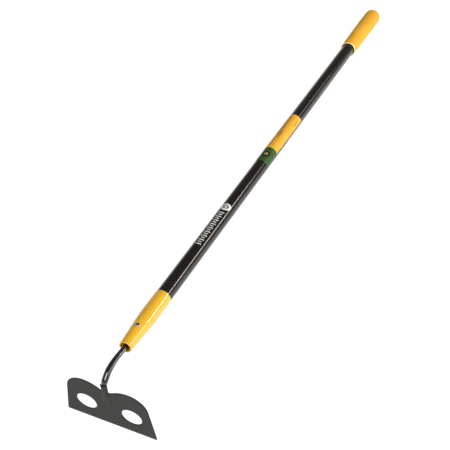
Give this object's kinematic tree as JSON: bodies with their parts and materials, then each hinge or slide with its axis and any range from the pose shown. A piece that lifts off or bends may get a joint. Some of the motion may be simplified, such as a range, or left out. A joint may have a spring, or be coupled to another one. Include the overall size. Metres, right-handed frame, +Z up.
{
  "type": "mixing hoe",
  "caption": "Long handled mixing hoe: flat steel blade with a pair of round holes, bent steel gooseneck behind a pressed rib, flared ferrule, fibreglass handle and a soft end grip.",
  "frame": {"origin": "centre of the bounding box at its lowest point, on the floor the tool lies on", "axes": "+Y along the handle from the blade to the end grip, +Z up, X across the blade; stored lying at rest on the cutting edge and the end grip"},
  "size_m": [0.1774, 1.528, 0.1454],
  "materials": {
    "grey_paint": "matte dark grey paint on sheet steel",
    "black_steel": "glossy black lacquer on forged steel",
    "weld_paint": "painted weld bead",
    "yellow_paint": "glossy yellow enamel on steel",
    "bare_steel": "bright rivet",
    "ash_wood": "plain turned ash",
    "black_fibreglass": "glossy black fibreglass",
    "green_vinyl": "printed vinyl",
    "yellow_vinyl": "printed vinyl",
    "yellow_rubber": "matte soft grip"
  },
  "bodies": {
    "root": {"blade": "grey_paint", "gooseneck": "black_steel", "neck_weld": "weld_paint", "ferrule": "yellow_paint", "ferrule_rivet": "bare_steel", "core_plug": "ash_wood", "handle_tube": "black_fibreglass", "label_lower": "green_vinyl", "label_upper": "yellow_vinyl", "end_grip": "yellow_rubber"}
  },
  "joints": []
}
